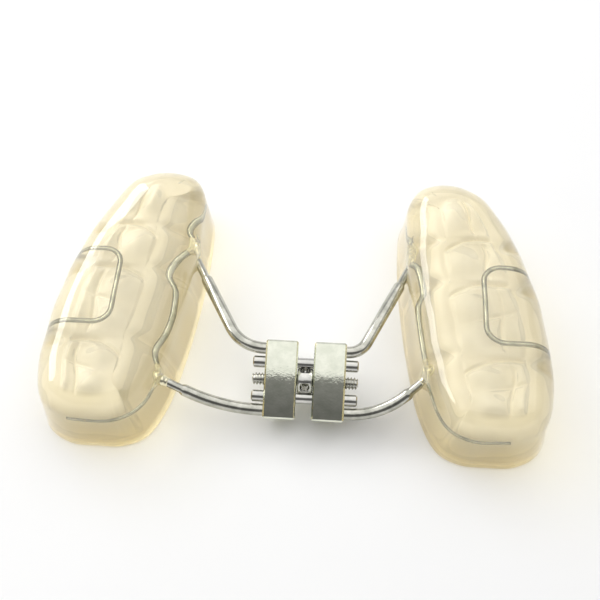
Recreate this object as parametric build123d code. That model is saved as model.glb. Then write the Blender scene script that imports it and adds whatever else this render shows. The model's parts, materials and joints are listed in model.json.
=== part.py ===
from build123d import *
import math
import os

# Bonded palatal expander in millimetres. X runs along the expansion screw, Y towards the front
# teeth and Z towards the biting side. The splints stand on their gum rims at Z = 0, and the
# origin is under the middle of the pair.
SIDES = {"left": -1, "right": 1}
ENDS = {"front": 1, "rear": -1}

# Expansion screw, in its own plane
screw_x = 1.3               # the screw sits a little off the arch's midline
screw_y = -10.8
screw_z = 4.4
screw_tilt = 25.0           # degrees, front end raised with the vault of the palate
block_width = 4.0           # along the screw axis
block_thickness = 4.0
block_crown = 0.3           # rise of the rounded upper and lower faces
block_edge = 0.2
block_gap = 2.0             # between the blocks when the screw is closed
spindle_diameter = 1.6
spindle_wall = 0.575        # of the block, between the spindle and a guide pin
pin_diameter = 1.5
pin_wall = 0.225            # of the block, between a guide pin and an arm
pin_overhang = 1.6          # past the closed blocks
pin_chamfer = 0.15
running_clearance = 0.03    # radial, of spindle and pins in the blocks
boss_diameter = 3.2
boss_clearance = 0.05       # of the boss beside the blocks and in the pins' notches
key_hole_diameter = 1.1
key_hole_angle = 32.0       # degrees, from the screw's upper side towards the rear

# Retention arms
arm_diameter = 1.5
arm_end_wall = 0.25         # of the block beyond an arm's socket
arm_socket = 2.5            # depth
arm_bend_share = 0.9        # of the straight run that the bend takes up
weld_clearance = 0.02
arm_runs = {                # length outside the block before the bend's corner
    "left_front": 3.3,
    "left_rear": 5.2,
    "right_front": 1.8,
    "right_rear": 4.6,
}
arm_joint_y = {             # where each arm meets the palatal wire
    "left_front": 7.3,
    "left_rear": -12.0,
    "right_front": 7.9,
    "right_rear": -9.4,
}

# Acrylic splints
pad_height = 10.6
pad_wall = 2.4
palatal_wall = 3.0          # carries the frame wire
pad_draft = 6.0             # degrees, of the outer flanks
pad_shoulder = 3.6          # radius of the biting edge
pad_inner_x = (13.4, 13.5, 17.5)    # palatal rim at the front, middle and rear
pad_outer_x = (23.8, 31.5, 31.4)    # cheek rim at the front, middle and rear
corner_front_inner = 5.0
corner_front_outer = 7.0
corner_rear_inner = 6.0
corner_rear_outer = 6.0

# Tooth seats inside each splint, from the rear forwards
tooth_lengths = {
    "second_molar": 8.6,
    "first_molar": 11.0,
    "second_premolar": 6.9,
    "first_premolar": 7.5,
}
crown_height = 6.8
crown_draft = 5.0           # degrees
crown_corner = 2.0
crown_edge = 1.1            # bevel round the biting face
contact_overlap = 0.45      # neighbouring crowns run into each other at the gum
cusp_slope = 40.0           # degrees from upright, of the sides of a cusp
cusp_margin = 0.8           # between the cusps and the edge of the biting face

# Frame wires
wire_diameter = 0.7
wire_height = 6.0
wire_depth = 1.2            # under the palatal flank beside a tooth
embrasure_depth = 0.7       # further in, between two teeth
tail_depth = 0.65           # under the rear wall
wire_bend = 1.6
wire_tail = 8.5             # along the rear wall
hook_length = 4.6           # the free front end, past the last contact between teeth
hook_stand = 0.6            # its tip, out of the palatal flank
loop_bridge = 8.5           # the loop's middle, in from the cheek rim
loop_shift = 1.5            # of its legs, in front of the first molar's contacts
loop_foot = 4.2             # height of its hidden ends
loop_bend = 2.2
embed_clearance = 0.03      # round what is embedded
solder_diameter = 1.9

pad_length = sum(tooth_lengths.values()) + 2 * pad_wall
draft_slope = math.tan(math.radians(pad_draft))
screw_place = Pos(screw_x, screw_y, screw_z) * Rot(screw_tilt, 0, 0)
pin_length = block_gap + 2 * (block_width + pin_overhang)
block_outer = block_gap / 2 + block_width
pin_offset = (spindle_diameter + pin_diameter) / 2 + spindle_wall
arm_offset = pin_offset + (pin_diameter + arm_diameter) / 2 + pin_wall
block_length = 2 * arm_offset + arm_diameter + 2 * arm_end_wall


def along_x(diameter, length):
    """Round bar along X, centred on the origin."""
    return Rot(0, 90, 0) * Cylinder(diameter / 2, length)


def chamfered_bar(diameter, length):
    bar = along_x(diameter, length)
    return chamfer(bar.edges().filter_by(GeomType.CIRCLE), pin_chamfer)


def spindle():
    """Double-ended screw with a middle boss that two crossed key holes go through."""
    boss = along_x(boss_diameter, block_gap - 2 * boss_clearance)
    body = chamfered_bar(spindle_diameter, pin_length) + boss
    for angle in (key_hole_angle, key_hole_angle + 90):
        body -= Rot(angle, 0, 0) * Cylinder(key_hole_diameter / 2, 2 * boss_diameter)
    return screw_place * body


def guide_pin(end):
    """Straight pin, notched in the middle so that the boss keeps it centred."""
    pin = Pos(0, ENDS[end] * pin_offset, 0) * chamfered_bar(pin_diameter, pin_length)
    return screw_place * (pin - along_x(boss_diameter + 2 * boss_clearance, block_gap))


def screw_block(side):
    """Half of the screw's body, crowned above and below, with its bores and arm sockets."""
    half_length = block_length / 2
    crest = block_thickness / 2
    rim = crest - block_crown
    upper = ThreePointArc((-half_length, rim), (0, crest), (half_length, rim))
    lower = ThreePointArc((half_length, -rim), (0, -crest), (-half_length, -rim))
    ends = [Line(upper @ 1, lower @ 0), Line(lower @ 1, upper @ 0)]
    section = Plane.YZ * make_face([upper, ends[0], lower, ends[1]])
    block = Pos(block_gap / 2, 0, 0) * extrude(section, block_width)
    block = chamfer(block.edges(), block_edge)
    through = 4 * block_outer
    block -= along_x(spindle_diameter + 2 * running_clearance, through)
    for sign in ENDS.values():
        pin_bore = along_x(pin_diameter + 2 * running_clearance, through)
        block -= Pos(0, sign * pin_offset, 0) * pin_bore
        socket = along_x(arm_diameter + 2 * weld_clearance, 2 * arm_socket)
        block -= Pos(block_outer, sign * arm_offset, 0) * socket
    if side == "left":
        block = mirror(block, about=Plane.YZ)
    return screw_place * block


def rim_arc(x_values):
    """Arc of one side of the right splint's rim, from front to rear."""
    front, middle, rear = x_values
    return ThreePointArc((front, pad_length / 2), (middle, 0), (rear, -pad_length / 2))


def rim_x(x_values, y):
    arc = rim_arc(x_values)
    centre = arc.arc_center
    reach = math.sqrt(arc.radius**2 - (y - centre.Y) ** 2)
    return centre.X + math.copysign(reach, x_values[1] - centre.X)


def pad_outline():
    """Outline of the right splint at its rim, with rounded corners."""
    inner = rim_arc(pad_inner_x)
    outer = rim_arc(pad_outer_x)
    outline = make_face([inner, Line(inner @ 1, outer @ 1), outer, Line(outer @ 0, inner @ 0)])
    corners = (
        (inner @ 0, corner_front_inner),
        (outer @ 0, corner_front_outer),
        (inner @ 1, corner_rear_inner),
        (outer @ 1, corner_rear_outer),
    )
    for point, radius in corners:
        outline = fillet(outline.vertices().sort_by_distance(point)[0], radius)
    return outline


def drafted(outline, height, draft):
    """Upright solid on an outline, its walls leaning in by the draft angle."""
    top = offset(outline, -height * math.tan(math.radians(draft)))
    return loft([outline, Pos(0, 0, height) * top], ruled=True)


def tooth_spans():
    """Name, rear end and front end of each tooth along the splint."""
    spans = []
    rear = -pad_length / 2 + pad_wall
    for name, length in tooth_lengths.items():
        spans.append((name, rear, rear + length))
        rear += length
    return spans


def on_cut(y, cut):
    return math.isclose(y, cut, abs_tol=1e-3)


def crown(name, rear, front, seat_outline):
    """Imprint of one tooth: a drafted crown, its biting face parted into two or four cusps."""
    low = rear - contact_overlap
    high = front + contact_overlap
    slab = Pos(0, (low + high) / 2) * Rectangle(4 * max(pad_outer_x), high - low)
    footprint = seat_outline & slab
    corners = [v for v in footprint.vertices() if on_cut(v.Y, low) or on_cut(v.Y, high)]
    footprint = fillet(corners, crown_corner)
    body = drafted(footprint, crown_height, crown_draft)
    biting_face = body.faces().sort_by(Axis.Z)[-1]
    box = biting_face.bounding_box()
    body = chamfer(biting_face.edges(), crown_edge)
    rows = 1 if name.endswith("premolar") else 2
    margin = crown_edge + cusp_margin
    cusp_width = (box.size.X - 2 * margin) / 2
    cusp_length = (box.size.Y - 2 * margin) / rows
    rise = pad_height - pad_wall - crown_height
    cusp = extrude(Rectangle(cusp_width, cusp_length), rise, taper=cusp_slope)
    for place in GridLocations(cusp_width, cusp_length, 2, rows):
        body += Pos(box.center()) * place * cusp
    return body


def pad_shell():
    """Right splint: a drafted shell with a rounded biting edge over four tooth seats."""
    outline = pad_outline()
    shell = drafted(outline, pad_height, pad_draft)
    shell = fillet(shell.faces().sort_by(Axis.Z)[-1].edges(), pad_shoulder)
    seat_outline = offset(outline, -pad_wall)
    seat_outline &= Pos(palatal_wall - pad_wall, 0) * seat_outline
    for name, rear, front in tooth_spans():
        shell -= crown(name, rear, front, seat_outline)
    return shell


def wire_points():
    """Corners of the right palatal wire, from its free front hook to its tail at the rear."""
    def flank(y, depth):
        return rim_x(pad_inner_x, y) + wire_height * draft_slope + depth

    spans = tooth_spans()
    hook_y = spans[-1][1] + hook_length
    points = [(flank(hook_y, -hook_stand), hook_y)]
    for name, rear, front in reversed(spans[:-1]):
        points.append((flank(front, wire_depth + embrasure_depth), front))
        middle = (rear + front) / 2
        points.append((flank(middle, wire_depth), middle))
    tail_y = -pad_length / 2 + wire_height * draft_slope + tail_depth
    corner_x = flank(tail_y, wire_depth)
    points.append((corner_x, tail_y))
    points.append((corner_x + wire_tail, tail_y))
    return [(x, y, wire_height) for x, y in points]


def wire_run(y):
    """The straight run of the right palatal wire that passes y: a point at y and its direction."""
    points = [Vector(*point) for point in wire_points()]
    for first, second in zip(points, points[1:]):
        if second.Y <= y <= first.Y:
            share = (y - first.Y) / (second.Y - first.Y)
            return first + (second - first) * share, (second - first).normalized()


def loop_points():
    """Corners of the right loop: up the cheek wall, across the biting side and back down."""
    spans = {name: (rear, front) for name, rear, front in tooth_spans()}
    rear, front = (y + loop_shift for y in spans["first_molar"])
    top = pad_height - pad_wall / 2
    bridge = rim_x(pad_outer_x, (rear + front) / 2) - loop_bridge

    def wall(y, z):
        return (rim_x(pad_outer_x, y) - pad_wall / 2 - z * draft_slope, y, z)

    over = [(bridge, rear, top), (bridge, front, top)]
    return [wall(rear, loop_foot), wall(rear, top), *over, wall(front, top), wall(front, loop_foot)]


def tube(points, radii, diameter):
    """Round wire along straight runs joined by tangent arcs."""
    path = FilletPolyline(*points, radius=radii)
    return sweep(Plane(path @ 0, z_dir=path % 0) * Circle(diameter / 2), path=path)


def palatal_wire(spare=0):
    points = wire_points()
    radii = [wire_bend for _ in points[1:-1]]
    radii[-1] = corner_rear_inner - wire_height * draft_slope - wire_depth
    return tube(points, radii, wire_diameter + 2 * spare)


def buccal_loop(spare=0):
    shoulder = pad_shoulder - pad_wall / 2
    return tube(loop_points(), [shoulder, loop_bend, loop_bend, shoulder], wire_diameter + 2 * spare)


def arm_points(side, end):
    """An arm's start in its socket, its bend's corner and its place on the palatal wire."""
    def from_screw(x):
        return (screw_place * Pos(SIDES[side] * x, ENDS[end] * arm_offset, 0)).position

    joint, _ = wire_run(arm_joint_y[f"{side}_{end}"])
    joint = Vector(SIDES[side] * joint.X, joint.Y, joint.Z)
    run = arm_runs[f"{side}_{end}"]
    return [from_screw(block_outer - arm_socket), from_screw(block_outer + run), joint]


def arm(side, end, spare=0):
    """Bent rod from its socket to the palatal wire, mitred along the middle of the wire."""
    diameter = arm_diameter + 2 * spare
    start, corner, joint = arm_points(side, end)
    turn = (corner - start).get_angle(joint - corner)
    bend = arm_bend_share * arm_runs[f"{side}_{end}"] / math.tan(math.radians(turn / 2))
    overrun = (joint - corner).normalized() * 2 * diameter
    rod = tube([start, corner, joint + overrun], [bend], diameter)
    _, along = wire_run(arm_joint_y[f"{side}_{end}"])
    outward = Vector(-SIDES[side] * along.Y, along.X, 0)
    mitre = Plane(joint + outward * spare, z_dir=outward)
    return split(rod, bisect_by=mitre, keep=Keep.BOTTOM)


def solder(side, end, spare=0):
    """Bead of solder, turned so that its poles lie on the arm."""
    _, corner, joint = arm_points(side, end)
    bead = Sphere(solder_diameter / 2 + spare)
    return Plane(joint, x_dir=(0, 0, 1), z_dir=joint - corner) * bead


def on_side(side, shape):
    return mirror(shape, about=Plane.YZ) if side == "left" else shape


def build_parts():
    parts = {"spindle": spindle()}
    for end in ENDS:
        parts[f"guide_pin_{end}"] = guide_pin(end)
    wire_room = palatal_wire(embed_clearance)
    shell = pad_shell() - wire_room - buccal_loop(embed_clearance)
    for side in SIDES:
        parts[f"screw_block_{side}"] = screw_block(side)
        parts[f"palatal_wire_{side}"] = on_side(side, palatal_wire())
        parts[f"buccal_loop_{side}"] = on_side(side, buccal_loop())
        pad = on_side(side, shell)
        for end in ENDS:
            arm_room = arm(side, end, embed_clearance)
            parts[f"arm_{side}_{end}"] = arm(side, end) - on_side(side, wire_room)
            parts[f"solder_{side}_{end}"] = solder(side, end) - arm_room - on_side(side, wire_room)
            pad = pad - arm_room - solder(side, end, embed_clearance)
        parts[f"acrylic_pad_{side}"] = pad
    return parts


os.makedirs("parts", exist_ok=True)
for node, shape in build_parts().items():
    shape.label = node
    export_step(shape, f"parts/{node}.step")
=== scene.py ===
import json
import math

import bmesh
import bpy
import numpy as np
from mathutils import Matrix, Vector


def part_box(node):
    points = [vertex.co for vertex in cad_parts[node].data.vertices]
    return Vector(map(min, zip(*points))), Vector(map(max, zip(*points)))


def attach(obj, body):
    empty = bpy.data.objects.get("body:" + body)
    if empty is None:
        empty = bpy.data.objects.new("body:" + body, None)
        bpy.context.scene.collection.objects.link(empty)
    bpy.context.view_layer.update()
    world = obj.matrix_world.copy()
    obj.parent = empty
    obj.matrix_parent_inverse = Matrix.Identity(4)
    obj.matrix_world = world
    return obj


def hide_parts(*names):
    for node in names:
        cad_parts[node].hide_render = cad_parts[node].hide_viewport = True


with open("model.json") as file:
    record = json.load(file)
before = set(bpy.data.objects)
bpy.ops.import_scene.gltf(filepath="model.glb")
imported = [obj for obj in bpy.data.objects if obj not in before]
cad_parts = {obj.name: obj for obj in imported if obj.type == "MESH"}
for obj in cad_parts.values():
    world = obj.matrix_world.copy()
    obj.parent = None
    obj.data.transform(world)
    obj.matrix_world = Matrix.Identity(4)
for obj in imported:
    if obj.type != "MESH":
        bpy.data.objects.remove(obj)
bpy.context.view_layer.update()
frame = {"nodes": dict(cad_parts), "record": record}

# Lengths are in millimetres in the part's own frame unless a name says otherwise.
MM = 0.001
SIDES = {"left": -1, "right": 1}
ENDS = ("front", "rear")

# Camera
CAMERA_PLACE = (3.71, -60.45, 103.05)
CAMERA_AZIMUTH = 3.5        # degrees
CAMERA_ELEVATION = 58.0
CAMERA_LENS = 52.8
CAMERA_SENSOR = 36.0
CAMERA_CLIP = 5.0

# Right splint's rim from above, one list per side; each list starts at a corner of the outline
RIM = {
    "palatal": [(14.9, 18.2), (13.3, 15.4), (13.0, 10.6), (13.2, 4.6), (13.8, -1.8), (14.7, -8.0),
                (15.8, -13.2)],
    "rear": [(17.8, -17.5), (20.7, -19.15), (24.0, -19.35), (27.6, -19.1)],
    "cheek": [(30.7, -17.1), (32.1, -12.9), (32.2, -7.4), (31.6, -0.9), (30.1, 5.7), (27.9, 11.7)],
    "front": [(25.2, 16.7), (22.0, 18.95), (18.4, 19.35)],
}
CELLS_ACROSS = 72           # faces across the grid of each cap
CELLS_ALONG = 168
EVENING = 300               # passes that even out that grid
RIM_SAMPLES = 40            # samples between two points of the outline

# Splint's outer section
RIM_ROUND = 0.5
RIM_STEPS = 6               # loops round each half of the rim
FLANK_DRAFT = 6.0           # degrees
FLANK_STEPS = 14            # loops up a flank, inside and outside
SHOULDER = 3.6
SHOULDER_STEPS = 14
TOP_HEIGHT = 10.3
TOP_CROWN = 0.2
TOP_EVENNESS = 6            # the crown falls away only near its ends
OUTER_WAVE = 0.07           # unevenness of the hand-finished outside
OUTER_PHASE = 0.7           # where its waves start

# Tooth seats
WALL = 1.8                  # on the cheek side and at the rear
FRONT_WALL = 0.9
PALATAL_WALL = {"left": 4.5, "right": 3.4}      # beside the biting edge
GUM_WALL = 2.3              # the palatal wall at the gum
SEAT_DRAFT = 5.0            # degrees
SEAT_BULGE = 0.35           # crowns are widest above the gum
SEAT_EDGE_HEIGHT = 5.4
SEAT_EDGE = 1.5
SEAT_EDGE_STEPS = 9
SEAT_INSET = SEAT_EDGE + SEAT_EDGE_HEIGHT * math.tan(math.radians(SEAT_DRAFT))
SCALLOP = 0.75              # how far the walls reach in between two teeth
SCALLOP_WIDTH = 0.9
SCALLOP_START = 0.5         # how far a wall faces sideways before it is scalloped
SCALLOP_BLEND = 0.3
TOOTH_ENDS = (-16.6, -8.4, 2.6, 9.5, 16.8)
TOOTH_CUSPS = (2, 2, 1, 1)  # rows of cusps on each tooth, from the rear
BITE_HEIGHT = 6.6
RELIEF_FADE = (0.16, 0.04)  # shares of the row, across and along, in which the relief fades out

# Relief of one tooth: places and widths across are in half rows, those along it in half teeth
TOOTH_REACH = 1.02
TOOTH_BLEND = 0.12
CUSP_HEIGHT = 1.15
CUSP_TIP = 1.6              # highest, over the biting surface
CUSP_SOFTNESS = 0.25
CUSP_ROWS = {1: (0,), 2: (-0.4, 0.44)}
CUSP_LENGTH = 0.62
CUSP_CROWDING = 0.7         # cusps in two rows are shorter than in one
CUSP_SKEW = 0.08
PALATAL_CUSP = (-0.32, 0.55)    # place and width across
CHEEK_CUSP = (0.95, 0.36)
GROOVE_PLACE = 0.42
GROOVE_DEPTH = 0.3
GROOVE_WIDTH = 0.07
GROOVE_SWAY = 0.1
GROOVE_SWAY_RATE = 3.2
CROSS_GROOVE_PLACE = 0.05
CROSS_GROOVE_SLANT = 0.22
CROSS_GROOVE_WIDTH = 0.05
FOSSA_WIDTH = 0.7           # hollow between the cusps
MARGIN_HEIGHT = 0.3         # ridges at both ends of a tooth
MARGIN_PLACE = 0.84
MARGIN_WIDTH = 0.12

# Lines between two teeth, which run back towards the palate
CONTACT_DEPTH = 0.6
CONTACT_WIDTH = 0.28
CONTACT_SHARPNESS = 1.4
CONTACT_BOW = 1.1
CONTACT_MIDDLE = 0.4        # where the bow is foremost, in half rows

# Spindle
THREAD_PITCH = 0.4
THREAD_DEPTH = 0.2
THREAD_POINT = 0.15         # taper of the ends
THREAD_STEEPNESS = 1.5
THREAD_CREST = 0.2          # widens its flat crest
SPINDLE_RADIUS = 0.8
SPINDLE_SEGMENTS = 40
SPINDLE_RINGS = 150         # along each half
BOSS_RADIUS = 1.6
BOSS_WIDTH = 1.9
BOSS_BEVEL = 0.12
KEY_HOLE_RADIUS = 0.55
KEY_HOLE_SEGMENTS = 32

# Frame wires as bent by hand, from above: free hook in front, both joints with the arms, tail behind
WIRE_RADIUS = 0.29
WIRE_SAMPLES = 10           # rings between two bends
WIRE_SEGMENTS = 16
WIRE_ROUTES = {
    "left": [(-14.7, 14.8), (-15.2, 12.7), (-16.2, 10.9), (-16.4, 9.2), (-15.6, 7.3), (-16.5, 5.8),
             (-17.3, 4.1), (-17.7, 1.9), (-17.0, -0.2), (-17.1, -3.3), (-17.6, -6.5), (-18.3, -8.8),
             (-18.1, -10.3), (-17.3, -12.0), (-17.9, -13.9), (-18.6, -15.6), (-20.4, -17.4),
             (-23.2, -18.2), (-26.8, -17.8)],
    "right": [(14.4, 12.9), (14.8, 11.0), (15.6, 9.7), (15.5, 7.9), (15.7, 6.4), (16.4, 5.1),
              (16.8, 1.5), (16.4, -0.5), (16.7, -4.7), (17.1, -8.1), (16.9, -9.4), (17.5, -12.3),
              (18.1, -14.7), (19.4, -16.8), (21.2, -17.8), (23.0, -18.1), (26.0, -17.9)],
}

# Arms' ends, ground thin where the resin takes them
ARM_THIN = 0.72             # of the full diameter
ARM_THIN_RUN = {"front": 5.0, "rear": 3.8}
ARM_STEP = 0.5
ARM_STEP_CUTS = 6
ARM_STRAIGHT = 4.0          # an arm's end is straight for at least this far from its joint
ARM_SAMPLE = 0.2            # length of rod at the start of the bend that shows the direction
ARM_CREASE = 40.0           # degrees, between a rod and its cut ends

# Solder
BEAD_RADIUS = 0.85
BEAD_ON_ARM = ((0.6, 0.85), (1.2, 0.76), (1.8, 0.66))   # reach and radius of each lump
BEAD_ON_WIRE = 1.5          # how far it runs along the wire
BEAD_TAPER = 0.32           # and gets thinner there, per millimetre
BEAD_VOXEL = 0.09
BEAD_SMOOTHING = 0.6
BEAD_PASSES = 12
BEAD_ROUGHNESS = 0.03
BEAD_WAVES = 4              # finer than those of the resin by this factor

# Stage, in metres
FLOOR_REACH = 0.6
FLOOR_DROP = 0.00002        # below the rims
OVERHEAD = {
    "place": (0, 0.235, 0.45),
    "target": (0, 0.235, 0),
    "width": 0.9,
    "depth": 0.84,
    "radiance": 0.81,
}
WINDOW = {
    "place": (-0.34, 0.22, 0.27),
    "target": (0, 0, 0.008),
    "width": 0.5,
    "depth": 0.18,
    "radiance": 4.8,
}
ROOM_SPAN = (-0.6, 0.3)     # from the near to the far side
ROOM_STRENGTH = (0.16, 0.6)
BACKDROP_SPAN = (0.2, 0.45)     # heights between which the white backdrop ends


def new_piece(name, vertices, faces, body, materials):
    """Mesh object from vertices in millimetres, riding on a body."""
    mesh = bpy.data.meshes.new(name)
    mesh.from_pydata((np.asarray(vertices) * MM).tolist(), [], faces)
    mesh.polygons.foreach_set("use_smooth", [True] * len(mesh.polygons))
    for material in materials:
        mesh.materials.append(material)
    piece = bpy.data.objects.new(name, mesh)
    bpy.context.scene.collection.objects.link(piece)
    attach(piece, body)
    return piece


# Materials

NOISE_SPAN = (0.3, 0.7)     # values that most of a noise lies between


def start_material(name):
    """New material with its node tree and its shader."""
    material = bpy.data.materials.new(name)
    material.use_nodes = True
    tree = material.node_tree
    return material, tree, tree.nodes["Principled BSDF"]


def noise(tree, size, detail=4.0, stretch=(1, 1, 1)):
    """Noise with features of about that size in millimetres."""
    place = tree.nodes.new("ShaderNodeTexCoord")
    mapping = tree.nodes.new("ShaderNodeMapping")
    mapping.inputs["Scale"].default_value = [1 / (MM * size * s) for s in stretch]
    texture = tree.nodes.new("ShaderNodeTexNoise")
    texture.inputs["Scale"].default_value = 1.0
    texture.inputs["Detail"].default_value = detail
    tree.links.new(place.outputs["Object"], mapping.inputs["Vector"])
    tree.links.new(mapping.outputs["Vector"], texture.inputs["Vector"])
    return texture.outputs["Fac"]


def ramp(tree, factor, low, high):
    """Colour between low and high, by a factor."""
    node = tree.nodes.new("ShaderNodeValToRGB")
    node.color_ramp.elements[0].position = 0.35
    node.color_ramp.elements[1].position = 0.65
    node.color_ramp.elements[0].color = (*low, 1)
    node.color_ramp.elements[1].color = (*high, 1)
    tree.links.new(factor, node.inputs["Fac"])
    return node.outputs["Color"]


def spread(tree, value, span, results):
    """Runs from the first to the second result while a value crosses a span."""
    node = tree.nodes.new("ShaderNodeMapRange")
    node.inputs["From Min"].default_value = span[0]
    node.inputs["From Max"].default_value = span[1]
    node.inputs["To Min"].default_value = results[0]
    node.inputs["To Max"].default_value = results[1]
    tree.links.new(value, node.inputs["Value"])
    return node.outputs["Result"]


def bump(tree, shader, factor, height):
    """Relief of that height in millimetres, over any relief that the shader has."""
    node = tree.nodes.new("ShaderNodeBump")
    node.inputs["Distance"].default_value = height * MM
    node.inputs["Strength"].default_value = 1.0
    tree.links.new(factor, node.inputs["Height"])
    previous = shader.inputs["Normal"].links
    if previous:
        tree.links.new(previous[0].from_socket, node.inputs["Normal"])
    tree.links.new(node.outputs["Normal"], shader.inputs["Normal"])


def steel(name, dark, light, rough, grain=(1, 1, 1), relief=0.004):
    """Polished metal with fine working marks drawn out along its grain."""
    material, tree, shader = start_material(name)
    shader.inputs["Metallic"].default_value = 1.0
    marks = noise(tree, 0.12, 6.0, grain)
    clouds = noise(tree, 1.4, 3.0)
    tree.links.new(ramp(tree, clouds, dark, light), shader.inputs["Base Color"])
    tree.links.new(spread(tree, marks, NOISE_SPAN, rough), shader.inputs["Roughness"])
    bump(tree, shader, marks, relief)
    bump(tree, shader, clouds, 2 * relief)
    return material


def tint_by_height(tree, colour, deep, heights):
    """Turns a colour to a deeper one where the surface lies low, under more resin."""
    place = tree.nodes.new("ShaderNodeTexCoord")
    parts = tree.nodes.new("ShaderNodeSeparateXYZ")
    tree.links.new(place.outputs["Object"], parts.inputs["Vector"])
    share = spread(tree, parts.outputs["Z"], [height * MM for height in heights], (0, 1))
    mix = tree.nodes.new("ShaderNodeMix")
    mix.data_type = "RGBA"
    mix.inputs["A"].default_value = (*deep, 1)
    tree.links.new(share, mix.inputs["Factor"])
    tree.links.new(colour, mix.inputs["B"])
    return mix.outputs["Result"]


def acrylic(name, dark, light, deep, heights, rough, clarity, relief, glaze):
    """Clear orthodontic resin, a little yellow and glazed by polishing; lamps shine through it."""
    material, tree, shader = start_material(name)
    clouds = noise(tree, 5.0, 3.0)
    pits = noise(tree, 0.5, 3.0)
    colour = tint_by_height(tree, ramp(tree, clouds, dark, light), deep, heights)
    tree.links.new(colour, shader.inputs["Base Color"])
    tree.links.new(spread(tree, pits, NOISE_SPAN, rough), shader.inputs["Roughness"])
    shader.inputs["IOR"].default_value = 1.45
    shader.inputs["Transmission Weight"].default_value = clarity
    shader.inputs["Coat Weight"].default_value = glaze
    shader.inputs["Coat Roughness"].default_value = 0.09
    bump(tree, shader, clouds, 10 * relief)
    bump(tree, shader, pits, relief)
    clear = tree.nodes.new("ShaderNodeBsdfTransparent")
    clear.inputs["Color"].default_value = (0.95, 0.93, 0.85, 1)
    light_path = tree.nodes.new("ShaderNodeLightPath")
    mix = tree.nodes.new("ShaderNodeMixShader")
    tree.links.new(light_path.outputs["Is Shadow Ray"], mix.inputs["Fac"])
    tree.links.new(shader.outputs["BSDF"], mix.inputs[1])
    tree.links.new(clear.outputs["BSDF"], mix.inputs[2])
    tree.links.new(mix.outputs["Shader"], tree.nodes["Material Output"].inputs["Surface"])
    return material


BLOCK_STEEL = steel(
    "block_steel",
    dark=(0.68, 0.70, 0.59),
    light=(0.79, 0.80, 0.69),
    rough=(0.02, 0.08),
    grain=(2, 2, 2),
    relief=0.007,
)
PIN_STEEL = steel(
    "pin_steel",
    dark=(0.50, 0.50, 0.47),
    light=(0.63, 0.62, 0.58),
    rough=(0.06, 0.12),
    grain=(8, 1, 1),
)
ARM_STEEL = steel(
    "arm_steel",
    dark=(0.38, 0.38, 0.33),
    light=(0.58, 0.57, 0.51),
    rough=(0.10, 0.20),
    grain=(2, 2, 2),
    relief=0.005,
)
WIRE_STEEL = steel(
    "wire_steel",
    dark=(0.27, 0.27, 0.20),
    light=(0.46, 0.455, 0.37),
    rough=(0.06, 0.16),
)
SOLDER_METAL = steel(
    "solder_metal",
    dark=(0.70, 0.65, 0.44),
    light=(0.86, 0.82, 0.62),
    rough=(0.14, 0.28),
    grain=(3, 3, 3),
)
ACRYLIC_OUTSIDE = acrylic(
    "acrylic_polished",
    dark=(0.925, 0.897, 0.755),
    light=(0.955, 0.932, 0.815),
    deep=(0.885, 0.835, 0.63),
    heights=(5.5, 8.5),
    rough=(0.01, 0.04),
    clarity=0.86,
    relief=0.001,
    glaze=0.6,
)
ACRYLIC_SEATS = acrylic(
    "acrylic_etched",
    dark=(0.66, 0.605, 0.475),
    light=(0.77, 0.715, 0.58),
    deep=(0.70, 0.60, 0.37),
    heights=(2.5, 7.6),
    rough=(0.35, 0.55),
    clarity=0.25,
    relief=0.004,
    glaze=0.0,
)


# Splints

def smooth_spans(before, start, end, beyond, steps):
    """Smooth curve from each start to its end: one row of samples for each span."""
    t = (np.arange(steps) / steps)[None, :, None]
    p0, p1, p2, p3 = (np.asarray(knots, float)[:, None, :] for knots in (before, start, end, beyond))
    return 0.5 * (2 * p1 + (p2 - p0) * t + (2 * p0 - 5 * p1 + 4 * p2 - p3) * t**2
                  + (3 * p1 - p0 - 3 * p2 + p3) * t**3)


def closed_curve(points, steps):
    """Smooth ring through points, one row of samples from each to the next."""
    before, after, beyond = (np.roll(points, n, axis=0) for n in (1, -1, -2))
    return smooth_spans(before, points, after, beyond, steps)


def open_curve(points, steps):
    """Smooth line through points, from the first to the last."""
    knots = np.vstack([points[:1], points, points[-1:]])
    curve = smooth_spans(knots[:-3], knots[1:-2], knots[2:-1], knots[3:], steps)
    return np.vstack([curve.reshape(-1, knots.shape[1]), knots[-1:]])


def rim_loop():
    """Even samples round the right rim, side by side, starting at its front palatal corner."""
    curve = closed_curve([point for side in RIM.values() for point in side], RIM_SAMPLES)
    loop = []
    first = 0
    for side, cells in zip(RIM.values(), (CELLS_ALONG, CELLS_ACROSS) * 2):
        run = curve[first:first + len(side)].reshape(-1, 2)
        end = curve[(first + len(side)) % len(curve), 0]
        run = np.vstack([run, end])
        reach = np.concatenate([[0], np.cumsum(np.linalg.norm(np.diff(run, axis=0), axis=1))])
        at = np.linspace(0, reach[-1], cells, endpoint=False)
        loop.append(np.column_stack([np.interp(at, reach, run[:, axis]) for axis in (0, 1)]))
        first += len(side)
    return np.vstack(loop)


RIM_LOOP = rim_loop()
TANGENT = np.roll(RIM_LOOP, -1, axis=0) - np.roll(RIM_LOOP, 1, axis=0)
OUTWARD = np.column_stack([TANGENT[:, 1], -TANGENT[:, 0]]) / np.linalg.norm(TANGENT, axis=1)[:, None]
PALATAL_RIM = RIM_LOOP[:CELLS_ALONG]
CHEEK_RIM = RIM_LOOP[CELLS_ALONG + CELLS_ACROSS:2 * CELLS_ALONG + CELLS_ACROSS]


def across_row(x, y, palatal_wall):
    """Place across the tooth row, from -1 at the palatal to 1 at the cheek edge of the seats."""
    palatal = np.interp(y, PALATAL_RIM[::-1, 1], PALATAL_RIM[::-1, 0])
    cheek = np.interp(y, CHEEK_RIM[:, 1], CHEEK_RIM[:, 0])
    middle = (palatal + palatal_wall + cheek - WALL) / 2
    return (x - middle) / (cheek - WALL - middle - SEAT_INSET)


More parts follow.
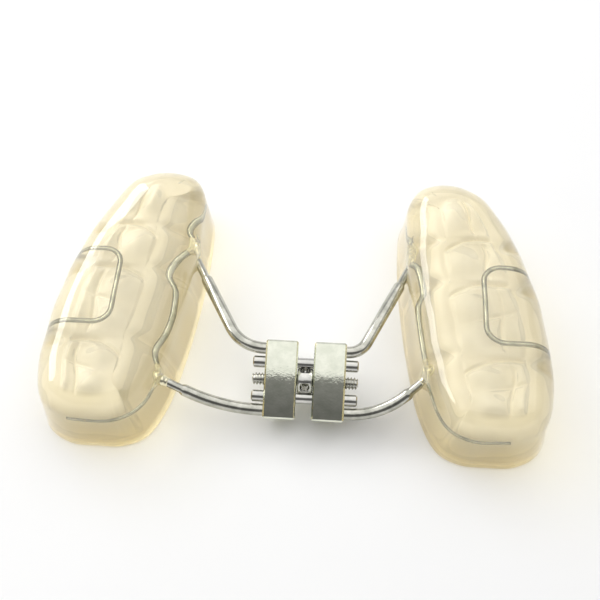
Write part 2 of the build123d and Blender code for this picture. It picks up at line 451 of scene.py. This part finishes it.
def hump(value, width):
    """Smooth rise to 1 where a value is 0."""
    return np.exp(-(value / width) ** 2)


def bite_relief(x, y, palatal_wall):
    """Relief of the teeth's biting surface that the seats are moulded on."""
    side = across_row(x, y, palatal_wall)
    height = np.zeros_like(x)
    for rear, front, rows in zip(TOOTH_ENDS, TOOTH_ENDS[1:], TOOTH_CUSPS):
        length = front - rear
        along = (y - (rear + front) / 2) / (length / 2)
        here = np.clip((TOOTH_REACH - np.abs(along)) / TOOTH_BLEND, 0, 1)
        cusps = 0
        for row in CUSP_ROWS[rows]:
            for edge, width in (PALATAL_CUSP, CHEEK_CUSP):
                lengthwise = hump(along - row - CUSP_SKEW * edge, CUSP_LENGTH / rows**CUSP_CROWDING)
                cusps = cusps + hump(side - edge, width) * lengthwise
        fossa = hump(side - GROOVE_PLACE, FOSSA_WIDTH)
        sway = GROOVE_SWAY * np.sin(GROOVE_SWAY_RATE * along)
        groove = hump(side - GROOVE_PLACE - sway, GROOVE_WIDTH) * (1 - np.clip(along, -1, 1)**4)
        if rows == 2:
            cross = along - CROSS_GROOVE_PLACE - CROSS_GROOVE_SLANT * side
            groove = np.maximum(groove, hump(cross, CROSS_GROOVE_WIDTH) * fossa)
        ridge = hump(np.abs(along) - MARGIN_PLACE, MARGIN_WIDTH) * fossa
        height += here * (CUSP_HEIGHT * cusps - GROOVE_DEPTH * groove + MARGIN_HEIGHT * ridge)
    for contact in TOOTH_ENDS[1:-1]:
        bow = CONTACT_BOW * (side - CONTACT_MIDDLE) ** 2
        beside = np.abs(y - contact + bow) / CONTACT_WIDTH
        height -= CONTACT_DEPTH * np.exp(-beside**CONTACT_SHARPNESS)
    return CUSP_TIP - CUSP_SOFTNESS * np.log1p(np.exp((CUSP_TIP - height) / CUSP_SOFTNESS))


def fade_in(place, width):
    """Rises smoothly from 0 at both ends of a row to 1 within that share of it."""
    share = np.clip(np.minimum(place, 1 - place) / width, 0, 1)
    return share**2 * (3 - 2 * share)


def inner_loops(palatal_wall):
    """Loops of the tooth seats, from the edge of the biting surface down to the gum rim."""
    beside = np.clip((np.abs(OUTWARD[:, 0]) - SCALLOP_START) / SCALLOP_BLEND, 0, 1)
    scallop = sum(hump(RIM_LOOP[:, 1] - contact, SCALLOP_WIDTH) for contact in TOOTH_ENDS[1:-1])
    palatal = np.clip(-OUTWARD[:, 0], 0, 1) ** 2
    front = np.clip(OUTWARD[:, 1], 0, 1)
    wall = WALL + (FRONT_WALL - WALL) * front + SCALLOP * scallop * beside
    slope = math.tan(math.radians(SEAT_DRAFT))

    def at(inset, z):
        plan = RIM_LOOP - OUTWARD * inset[:, None]
        return np.column_stack([plan, np.broadcast_to(z, len(plan))])

    def flank(z):
        share = z / SEAT_EDGE_HEIGHT
        thicker = (GUM_WALL + (palatal_wall - GUM_WALL) * share - WALL) * palatal
        return wall + thicker + z * slope - SEAT_BULGE * math.sin(math.pi * share)

    loops = []
    for angle in np.linspace(math.pi / 2, 0, SEAT_EDGE_STEPS)[:-1]:
        height = SEAT_EDGE_HEIGHT + (BITE_HEIGHT - SEAT_EDGE_HEIGHT) * math.sin(angle)
        loops.append(at(flank(SEAT_EDGE_HEIGHT) + SEAT_EDGE * (1 - math.cos(angle)), height))
    for z in np.linspace(SEAT_EDGE_HEIGHT, RIM_ROUND, FLANK_STEPS):
        loops.append(at(flank(z), z))
    for angle in np.linspace(0, math.pi / 2, RIM_STEPS)[1:]:
        inset = flank(RIM_ROUND) - RIM_ROUND * (1 - math.cos(angle))
        loops.append(at(inset, RIM_ROUND * (1 - math.sin(angle))))
    return loops


def outer_loops():
    """Loops of the splint's outside, from the gum rim up to the edge of its top."""
    slope = math.tan(math.radians(FLANK_DRAFT))
    centre_z = TOP_HEIGHT - SHOULDER
    shoulder_start = math.radians(FLANK_DRAFT)
    start_z = centre_z + SHOULDER * math.sin(shoulder_start)
    centre_inset = start_z * slope + SHOULDER * math.cos(shoulder_start)

    def at(inset, z):
        return np.column_stack([RIM_LOOP - OUTWARD * inset, np.full(len(RIM_LOOP), z)])

    loops = []
    for angle in np.linspace(math.pi / 2, 0, RIM_STEPS):
        z = RIM_ROUND * (1 - math.sin(angle))
        loops.append(at(z * slope + RIM_ROUND * (1 - math.cos(angle)), z))
    for z in np.linspace(RIM_ROUND, start_z, FLANK_STEPS)[1:]:
        loops.append(at(z * slope, z))
    for angle in np.linspace(shoulder_start, math.pi / 2 - shoulder_start, SHOULDER_STEPS)[1:]:
        inset = centre_inset - SHOULDER * math.cos(angle)
        loops.append(at(inset, centre_z + SHOULDER * math.sin(angle)))
    return loops


def loop_index(i, j):
    """Place in a loop of the grid's border point i across and j along."""
    if i == 0:
        return j
    if j == CELLS_ALONG:
        return CELLS_ALONG + i
    if i == CELLS_ACROSS:
        return CELLS_ACROSS + 2 * CELLS_ALONG - j
    return 2 * (CELLS_ALONG + CELLS_ACROSS) - i


def cap_plan(loop):
    """Grid of points inside a loop, from its palatal to its cheek side and from front to rear."""
    across = np.linspace(0, 1, CELLS_ACROSS + 1)[:, None, None]
    along = np.linspace(0, 1, CELLS_ALONG + 1)[None, :, None]
    rows = range(CELLS_ALONG + 1)
    columns = range(CELLS_ACROSS + 1)
    palatal = loop[[loop_index(0, j) for j in rows]][None]
    cheek = loop[[loop_index(CELLS_ACROSS, j) for j in rows]][None]
    front = loop[[loop_index(i, 0) % len(loop) for i in columns]][:, None]
    rear = loop[[loop_index(i, CELLS_ALONG) for i in columns]][:, None]
    corners = ((1 - across) * ((1 - along) * palatal[:, :1] + along * palatal[:, -1:])
               + across * ((1 - along) * cheek[:, :1] + along * cheek[:, -1:]))
    grid = (1 - across) * palatal + across * cheek + (1 - along) * front + along * rear - corners
    for _ in range(EVENING):
        neighbours = grid[:-2, 1:-1] + grid[2:, 1:-1] + grid[1:-1, :-2] + grid[1:-1, 2:]
        grid[1:-1, 1:-1] = neighbours / 4
    return grid, across[..., 0], along[..., 0]


def add_cap(vertices, faces, grid, first, upward):
    """Joins a grid's inside to the loop whose points start at first."""
    ids = np.empty(grid.shape[:2], int)
    count = 2 * (CELLS_ALONG + CELLS_ACROSS)
    total = sum(len(block) for block in vertices)
    inside = []
    for i in range(CELLS_ACROSS + 1):
        for j in range(CELLS_ALONG + 1):
            if i in (0, CELLS_ACROSS) or j in (0, CELLS_ALONG):
                ids[i, j] = first + loop_index(i, j) % count
            else:
                ids[i, j] = total + len(inside)
                inside.append(grid[i, j])
    vertices.append(np.array(inside))
    quads = np.stack([ids[:-1, :-1], ids[:-1, 1:], ids[1:, 1:], ids[1:, :-1]], axis=-1).reshape(-1, 4)
    faces.extend((quads if upward else quads[:, ::-1]).tolist())


def unevenness(points, phase):
    """Slow waves of a surface that was finished by hand."""
    x, y, z = points.T
    return (np.sin(0.55 * x + 0.31 * y + phase) * np.cos(0.43 * y - 0.2 * z + 2 * phase)
            + 0.6 * np.sin(0.9 * y + 0.7 * z + 3 * phase) * np.cos(0.8 * x - phase))


def splint(side):
    """Clear shell over four teeth: seats inside, a smooth flank and shoulder outside."""
    inner = inner_loops(PALATAL_WALL[side])
    outer = outer_loops()
    loops = inner + outer
    count = len(RIM_LOOP)
    vertices = list(loops)
    start = np.arange(len(loops) - 1)[:, None] * count
    here = np.arange(count)[None, :]
    after = (here + 1) % count
    quads = np.stack([start + here, start + after, start + count + after, start + count + here], axis=-1)
    faces = quads.reshape(-1, 4).tolist()
    fitted_rows = len(inner) + RIM_STEPS // 2
    finishes = [0 if row < fitted_rows else 1 for row in range(len(loops) - 1) for _ in range(count)]
    seat_grid, across, along = cap_plan(inner[0])
    relief = bite_relief(seat_grid[..., 0], seat_grid[..., 1], PALATAL_WALL[side])
    seat_grid[..., 2] += relief * fade_in(across, RELIEF_FADE[0]) * fade_in(along, RELIEF_FADE[1])
    add_cap(vertices, faces, seat_grid, 0, False)
    finishes += [0] * (len(faces) - len(finishes))
    top_grid, across, along = cap_plan(outer[-1])
    rise = np.sin(math.pi * across) * (1 - (2 * along - 1) ** TOP_EVENNESS)
    top_grid[..., 2] += TOP_CROWN * rise
    add_cap(vertices, faces, top_grid, count * (len(loops) - 1), True)
    finishes += [1] * (len(faces) - len(finishes))
    points = np.vstack(vertices)
    points[:, 0] *= SIDES[side]
    if SIDES[side] < 0:
        faces = [face[::-1] for face in faces]
    finish = [ACRYLIC_SEATS, ACRYLIC_OUTSIDE]
    piece = new_piece(f"splint_{side}", points, faces, f"{side}_half", finish)
    piece.data.polygons.foreach_set("material_index", finishes)
    normals = np.empty(3 * len(points))
    piece.data.vertex_normals.foreach_get("vector", normals)
    outside = np.zeros(len(points))
    first_outer = (len(inner) + RIM_STEPS) * count
    outside[first_outer:len(loops) * count] = 1
    outside[-top_grid[1:-1, 1:-1, 0].size:] = 1
    lift = OUTER_WAVE * outside * unevenness(points, OUTER_PHASE + SIDES[side])
    points += normals.reshape(-1, 3) * lift[:, None]
    piece.data.vertices.foreach_set("co", (points * MM).ravel())
    piece.data.update()
    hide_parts(f"acrylic_pad_{side}")
    return piece


# Spindle

def mount_axis(name):
    """Axis of a mount in the record."""
    mounts = {mount["name"]: mount for mount in frame["record"]["mounts"]}
    return Vector(mounts[name]["axis"])


def thread_height(x, turn):
    """Depth of the thread's groove at x along one half of the spindle and at angles round it."""
    phase = (x / THREAD_PITCH + turn / (2 * math.pi)) % 1
    return THREAD_DEPTH * np.clip(THREAD_STEEPNESS * np.abs(2 * phase - 1) - THREAD_CREST, 0, 1)


def spindle():
    """Double-ended screw with mirrored threads and a boss drilled across for the key."""
    low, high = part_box("spindle")
    centre = (low + high) / 2 / MM
    half_length = (high.x - low.x) / 2 / MM
    half_boss = BOSS_WIDTH / 2
    turns = np.linspace(0, 2 * math.pi, SPINDLE_SEGMENTS, endpoint=False)
    half = [(half_boss - BOSS_BEVEL, np.full(len(turns), BOSS_RADIUS)),
            (half_boss, np.full(len(turns), BOSS_RADIUS - BOSS_BEVEL))]
    for x in np.linspace(half_boss, half_length, SPINDLE_RINGS):
        point = THREAD_POINT * max(1 - (half_length - x) / (2 * THREAD_POINT), 0)
        half.append((x, SPINDLE_RADIUS - thread_height(x, turns) - point))
    rings = [(-x, radius) for x, radius in reversed(half)] + half
    count = len(turns)
    vertices = []
    for x, radius in rings:
        ring = [np.full(count, x), radius * np.cos(turns), radius * np.sin(turns)]
        vertices.append(np.column_stack(ring))
    faces = []
    for start in range(0, (len(rings) - 1) * count, count):
        for n in range(count):
            after = (n + 1) % count
            faces.append((start + n, start + after, start + count + after, start + count + n))
    faces.append(tuple(range(count)))
    last = (len(rings) - 1) * count
    faces.append(tuple(last + n for n in reversed(range(count))))
    points = np.vstack(vertices) + np.array(centre)
    piece = new_piece("threaded_spindle", points, faces, "spindle", [PIN_STEEL])
    axis = mount_axis("key_hole")
    for direction in (axis, axis.cross(Vector((1, 0, 0)))):
        drill(piece, Vector(centre), direction)
    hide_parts("spindle")
    return piece


def drill(piece, centre, direction):
    """Cuts a key hole through the boss."""
    cutter_mesh = bpy.data.meshes.new("cutter")
    shape = bmesh.new()
    turn = direction.to_track_quat("Z", "Y").to_matrix().to_4x4()
    bmesh.ops.create_cone(shape, cap_ends=True, segments=KEY_HOLE_SEGMENTS, radius1=KEY_HOLE_RADIUS * MM,
                          radius2=KEY_HOLE_RADIUS * MM, depth=4 * BOSS_RADIUS * MM,
                          matrix=Matrix.Translation(centre * MM) @ turn)
    shape.to_mesh(cutter_mesh)
    shape.free()
    cutter = bpy.data.objects.new("cutter", cutter_mesh)
    bpy.context.scene.collection.objects.link(cutter)
    modifier = piece.modifiers.new("drill", "BOOLEAN")
    modifier.object = cutter
    modifier.operation = "DIFFERENCE"
    modifier.solver = "EXACT"
    apply_modifiers(piece)
    bpy.data.objects.remove(cutter)


def apply_modifiers(piece):
    """Bakes a piece's modifiers into its mesh."""
    view = bpy.context.evaluated_depsgraph_get()
    mesh = bpy.data.meshes.new_from_object(piece.evaluated_get(view))
    piece.modifiers.clear()
    piece.data = mesh


# Frame wires, arms and their joints

def joint_place(side, end):
    """Middle of the solder joint of an arm and its frame wire."""
    low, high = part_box(f"solder_{side}_{end}")
    return np.array((low + high) / 2) / MM


def wire_path(side):
    """Middle of a frame wire, at the height of its joints."""
    plan = open_curve(np.array(WIRE_ROUTES[side]), WIRE_SAMPLES)
    return np.column_stack([plan, np.full(len(plan), joint_place(side, "front")[2])])


def frame_wire(side):
    """Round wire bent by hand along the palatal side of the teeth."""
    path = wire_path(side)
    along = np.gradient(path, axis=0)
    along /= np.linalg.norm(along, axis=1)[:, None]
    across = np.cross(along, (0, 0, 1))
    count = WIRE_SEGMENTS
    turns = np.linspace(0, 2 * math.pi, count, endpoint=False)
    upward = np.outer(np.sin(turns), (0, 0, 1))
    rings = [centre + WIRE_RADIUS * (np.outer(np.cos(turns), aside) + upward)
             for centre, aside in zip(path, across)]
    points = np.vstack(rings)
    start = np.arange(len(path) - 1)[:, None] * count
    here = np.arange(count)[None, :]
    after = (here + 1) % count
    quads = np.stack([start + here, start + count + here, start + count + after, start + after], axis=-1)
    faces = quads.reshape(-1, 4).tolist()
    faces.append(list(range(count)))
    faces.append(list(range(len(points) - 1, len(points) - 1 - count, -1)))
    piece = new_piece(f"frame_wire_{side}", points, faces, f"{side}_half", [WIRE_STEEL])
    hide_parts(f"palatal_wire_{side}")
    return piece


def arm_direction(side, end):
    """Direction of an arm's straight end, from its joint to where its bend starts."""
    points = np.array([v.co for v in frame["nodes"][f"arm_{side}_{end}"].data.vertices]) / MM
    away = points - joint_place(side, end)
    reach = np.linalg.norm(away, axis=1)
    bend_start = reach[reach > ARM_STRAIGHT].min()
    direction = away[(reach > ARM_STRAIGHT) & (reach < bend_start + ARM_SAMPLE)].mean(axis=0)
    return direction / np.linalg.norm(direction)


def arm_piece(side, end):
    """The arm's own rod, with its end ground thinner."""
    node = frame["nodes"][f"arm_{side}_{end}"]
    joint = Vector(joint_place(side, end)) * MM
    direction = Vector(arm_direction(side, end))
    shape = bmesh.new()
    shape.from_mesh(node.data)
    run = ARM_THIN_RUN[end]
    for reach in np.linspace(run, run + ARM_STEP, ARM_STEP_CUTS):
        everything = shape.verts[:] + shape.edges[:] + shape.faces[:]
        cut = joint + direction * reach * MM
        bmesh.ops.bisect_plane(shape, geom=everything, plane_co=cut, plane_no=direction)
    for vertex in shape.verts:
        along = (vertex.co - joint).dot(direction)
        middle = joint + direction * along
        share = min(max((along / MM - run) / ARM_STEP, 0), 1)
        vertex.co = middle + (vertex.co - middle) * (ARM_THIN + (1 - ARM_THIN) * share)
    points = np.array([vertex.co for vertex in shape.verts]) / MM
    shape.verts.index_update()
    faces = [[vertex.index for vertex in face.verts] for face in shape.faces]
    shape.free()
    piece = new_piece(f"arm_rod_{side}_{end}", points, faces, f"{side}_half", [ARM_STEEL])
    piece.data.set_sharp_from_angle(angle=math.radians(ARM_CREASE))
    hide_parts(f"arm_{side}_{end}")
    return piece


def solder_bead(side, end):
    """Lump of solder that wets the arm and the wire at their joint."""
    centre = joint_place(side, end)
    lumps = [(np.zeros(3), BEAD_RADIUS)]
    for reach, radius in BEAD_ON_ARM:
        lumps.append((arm_direction(side, end) * reach, radius))
    for point in wire_path(side) - centre:
        reach = np.linalg.norm(point)
        if reach < BEAD_ON_WIRE:
            lumps.append((point, BEAD_RADIUS - BEAD_TAPER * reach))
    shape = bmesh.new()
    for place, radius in lumps:
        spot = Matrix.Translation(place)
        bmesh.ops.create_icosphere(shape, subdivisions=3, radius=radius, matrix=spot)
    mesh = bpy.data.meshes.new("lumps")
    shape.to_mesh(mesh)
    shape.free()
    lump = bpy.data.objects.new("lumps", mesh)
    bpy.context.scene.collection.objects.link(lump)
    remesh = lump.modifiers.new("remesh", "REMESH")
    remesh.mode = "VOXEL"
    remesh.voxel_size = BEAD_VOXEL
    smooth = lump.modifiers.new("smooth", "SMOOTH")
    smooth.factor = BEAD_SMOOTHING
    smooth.iterations = BEAD_PASSES
    apply_modifiers(lump)
    points = np.array([v.co for v in lump.data.vertices])
    faces = [tuple(polygon.vertices) for polygon in lump.data.polygons]
    grown = points * (1 + BEAD_ROUGHNESS * unevenness(BEAD_WAVES * points, centre[1])[:, None])
    bpy.data.objects.remove(lump)
    name = f"solder_bead_{side}_{end}"
    piece = new_piece(name, grown + centre, faces, f"{side}_half", [SOLDER_METAL])
    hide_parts(f"solder_{side}_{end}")
    return piece


# Stage

def stage():
    """Pale floor under the splints' rims."""
    mesh = bpy.data.meshes.new("floor")
    corners = [(x * FLOOR_REACH, y * FLOOR_REACH, 0) for x, y in ((-1, -1), (1, -1), (1, 1), (-1, 1))]
    mesh.from_pydata(corners, [], [(0, 1, 2, 3)])
    floor = bpy.data.objects.new("floor", mesh)
    floor.location.z = -FLOOR_DROP
    bpy.context.scene.collection.objects.link(floor)
    material, tree, shader = start_material("floor_paper")
    shade = ramp(tree, noise(tree, 40.0), (0.93, 0.93, 0.93), (0.94, 0.94, 0.94))
    tree.links.new(shade, shader.inputs["Base Color"])
    shader.inputs["Roughness"].default_value = 0.9
    shader.inputs["Specular IOR Level"].default_value = 0.0
    mesh.materials.append(material)


def softbox(name, place, target, width, depth, radiance):
    """Rectangular lamp of that radiance, turned to its target; metres."""
    lamp = bpy.data.lights.new(name, "AREA")
    lamp.shape = "RECTANGLE"
    lamp.size = width
    lamp.size_y = depth
    lamp.energy = radiance * math.pi * width * depth
    holder = bpy.data.objects.new(name, lamp)
    holder.location = place
    holder.rotation_euler = (Vector(target) - Vector(place)).to_track_quat("-Z", "Y").to_euler()
    bpy.context.scene.collection.objects.link(holder)


def combine(tree, operation, first, second):
    """Result of an operation on two values."""
    node = tree.nodes.new("ShaderNodeMath")
    node.operation = operation
    tree.links.new(first, node.inputs[0])
    tree.links.new(second, node.inputs[1])
    return node.outputs["Value"]


def light():
    """Wide lamp overhead, window at the far left, and a room with a white backdrop."""
    softbox("overhead", **OVERHEAD)
    softbox("window", **WINDOW)
    world = bpy.data.worlds.new("studio")
    world.use_nodes = True
    tree = world.node_tree
    background = tree.nodes["Background"]
    background.inputs["Color"].default_value = (1, 1, 1, 1)
    direction = tree.nodes.new("ShaderNodeTexCoord")
    parts = tree.nodes.new("ShaderNodeSeparateXYZ")
    tree.links.new(direction.outputs["Generated"], parts.inputs["Vector"])
    light_path = tree.nodes.new("ShaderNodeLightPath").outputs
    # The room is darker on the near side, which metal mirrors above the backdrop
    strength = spread(tree, parts.outputs["Y"], ROOM_SPAN, ROOM_STRENGTH)
    backdrop = spread(tree, parts.outputs["Z"], BACKDROP_SPAN, (1, 0))
    mirrored = combine(tree, "MULTIPLY", backdrop, light_path["Is Glossy Ray"])
    for white in (light_path["Is Camera Ray"], light_path["Is Transmission Ray"], mirrored):
        strength = combine(tree, "MAXIMUM", strength, white)
    tree.links.new(strength, background.inputs["Strength"])
    bpy.context.scene.world = world


def camera():
    """Looks down on the biting side from a little right of the middle."""
    lens = bpy.data.cameras.new("camera")
    lens.lens = CAMERA_LENS
    lens.sensor_width = CAMERA_SENSOR
    lens.clip_start = CAMERA_CLIP * MM
    holder = bpy.data.objects.new("camera", lens)
    turn, lift = math.radians(CAMERA_AZIMUTH), math.radians(CAMERA_ELEVATION)
    look = Vector((-math.sin(turn) * math.cos(lift), math.cos(turn) * math.cos(lift), -math.sin(lift)))
    holder.location = Vector(CAMERA_PLACE) * MM
    holder.rotation_euler = look.to_track_quat("-Z", "Y").to_euler()
    bpy.context.scene.collection.objects.link(holder)
    bpy.context.scene.camera = holder


def finish_nodes():
    """Gives every solid its own finish, also where another piece is shown for it."""
    finishes = {
        "screw_block": BLOCK_STEEL,
        "guide_pin": PIN_STEEL,
        "arm": ARM_STEEL,
        "palatal_wire": WIRE_STEEL,
        "buccal_loop": WIRE_STEEL,
        "spindle": PIN_STEEL,
        "solder": SOLDER_METAL,
        "acrylic_pad": ACRYLIC_OUTSIDE,
    }
    for name, node in frame["nodes"].items():
        for start, material in finishes.items():
            if name.startswith(start):
                node.data.materials.clear()
                node.data.materials.append(material)


finish_nodes()
for side in SIDES:
    splint(side)
    frame_wire(side)
    for end in ENDS:
        arm_piece(side, end)
        solder_bead(side, end)
spindle()
stage()
light()
camera()
bpy.context.scene.view_settings.view_transform = "Standard"
